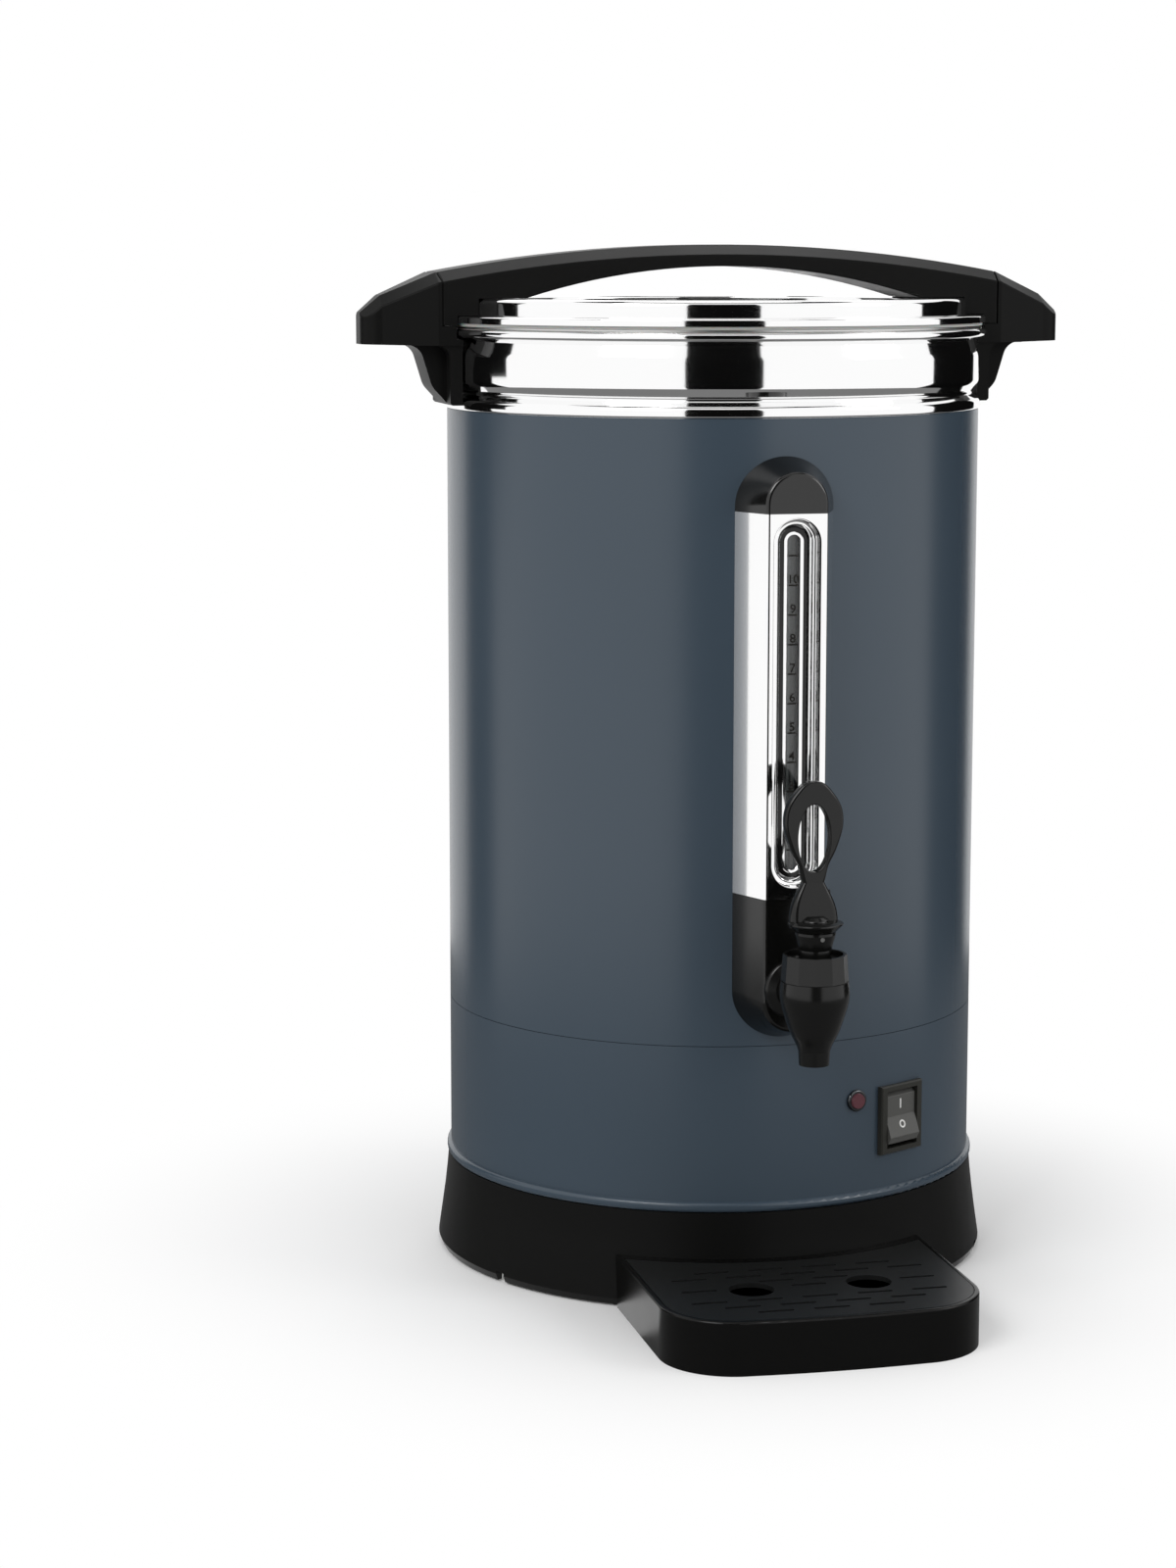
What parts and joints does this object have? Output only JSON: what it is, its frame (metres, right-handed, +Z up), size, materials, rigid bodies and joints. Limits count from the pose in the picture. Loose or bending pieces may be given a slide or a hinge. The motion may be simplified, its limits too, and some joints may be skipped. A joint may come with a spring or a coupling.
{
  "type": "coffee urn",
  "caption": "Percolating coffee urn with a painted drum, twist-off lid with an arched handle, carrying handles, level gauge, spring tap and drip tray.",
  "frame": {"origin": "on the counter, on the drum's axis", "axes": "+Z up, the tap and the drip tray face -Y, the carrying handles lie on X"},
  "size_m": [0.351, 0.3665, 0.4969],
  "materials": {
    "black_plastic": "satin black, fine moulded texture",
    "black_gloss": "semi-gloss black",
    "dark_grey_plastic": "satin dark grey",
    "slate_paint": "satin slate blue-grey powder coat",
    "polished_steel": "polished stainless steel",
    "brushed_steel": "brushed stainless steel",
    "plated_steel": "zinc plated",
    "aluminium": "as cast",
    "silicone": "translucent white silicone",
    "black_rubber": "matt black",
    "clear_glass": "clear",
    "red_lens": "translucent red",
    "white_scale": "light grey with level marks"
  },
  "bodies": {
    "urn": {"base_skirt": "black_plastic", "bottom_cover": "plated_steel", "base_feet": "black_rubber", "base_screws": "plated_steel", "shell_lower": "slate_paint", "shell_upper": "slate_paint", "rim_collar": "polished_steel", "tank": "brushed_steel", "tank_support": "plated_steel", "heater_plate": "aluminium", "heating_element": "brushed_steel", "thermostat": "black_plastic", "thermal_cutout": "black_plastic", "switch_housing": "dark_grey_plastic", "lamp_bezel": "polished_steel", "lamp_lens": "red_lens", "power_inlet": "black_plastic", "inlet_pins": "plated_steel", "inlet_screws": "plated_steel", "gauge_top_cap": "black_plastic", "gauge_cover": "polished_steel", "gauge_lower_housing": "black_plastic", "gauge_window_frame": "polished_steel", "gauge_lens": "clear_glass", "sight_tube": "clear_glass", "tube_seal_lower": "silicone", "tube_seal_upper": "silicone", "level_scale": "white_scale", "gauge_fitting": "brushed_steel", "gauge_screws": "plated_steel", "tap_shank": "brushed_steel", "shank_nut": "brushed_steel", "shank_washers": "silicone", "tap_flange": "black_gloss", "tap_body": "black_gloss", "tap_ring_nut": "black_gloss", "tap_neck": "black_gloss", "tap_spring": "brushed_steel", "handle_right": "black_plastic", "handle_left": "black_plastic", "handle_screws": "plated_steel"},
    "lid_seal": {"lid_seal": "silicone"},
    "lid": {"lid": "polished_steel", "lid_handle": "black_plastic", "lid_screws": "plated_steel"},
    "pump": {"pump_tube": "brushed_steel", "pump_foot": "brushed_steel"},
    "basket": {"filter_basket": "brushed_steel"},
    "spreader": {"basket_cover": "brushed_steel"},
    "lever": {"tap_lever": "black_gloss"},
    "stem": {"tap_stem": "brushed_steel", "tap_pin": "brushed_steel", "seat_cup": "silicone"},
    "rocker": {"switch_rocker": "dark_grey_plastic"},
    "tray": {"drip_tray": "black_plastic"},
    "grille": {"drip_grille": "black_gloss"}
  },
  "joints": [
    {"name": "lid_lift", "type": "slide", "parent": "urn", "child": "lid_seal", "axis": [0, 0, 1], "range_m": [0, 0.72]},
    {"name": "lid_turn", "type": "hinge", "parent": "lid_seal", "child": "lid", "pos_m": [0, 0, 0.4625], "axis": [0, 0, 1], "range_deg": [0, 25]},
    {"name": "pump_lift", "type": "slide", "parent": "urn", "child": "pump", "axis": [0, 0, 1], "range_m": [0, 0.361]},
    {"name": "basket_lift", "type": "slide", "parent": "pump", "child": "basket", "axis": [0, 0, 1], "range_m": [0, 0.121]},
    {"name": "spreader_lift", "type": "slide", "parent": "basket", "child": "spreader", "axis": [0, 0, 1], "range_m": [0, 0.0721]},
    {"name": "lever_tilt", "type": "hinge", "parent": "urn", "child": "lever", "pos_m": [0, -0.1926, 0.191], "axis": [1, 0, 0], "range_deg": [0, 25], "stiffness_Nm_per_rad": 0.0865, "springref_deg": -40.11},
    {"name": "stem_lift", "type": "slide", "parent": "urn", "child": "stem", "axis": [0, 0, 1], "range_m": [0, 0.00415], "deforming": ["tap_spring"]},
    {"name": "rocker_tilt", "type": "hinge", "parent": "urn", "child": "rocker", "pos_m": [0.06176, -0.1096, 0.0845], "axis": [0.8712, 0.4909, 0], "range_deg": [0, 20]},
    {"name": "tray_slide", "type": "slide", "parent": "urn", "child": "tray", "axis": [0, -1, 0], "range_m": [0, 0.12]},
    {"name": "grille_lift", "type": "slide", "parent": "tray", "child": "grille", "axis": [0, 0, 1], "range_m": [0, 0.06]}
  ],
  "couplings": [
    {"joint": "pump_lift", "follows": "lid_lift", "ratio": 0.5},
    {"joint": "basket_lift", "follows": "lid_lift", "ratio": 0.16667},
    {"joint": "spreader_lift", "follows": "lid_lift", "ratio": 0.1},
    {"joint": "stem_lift", "follows": "lever_tilt", "m_per_rad": 0.00944}
  ]
}
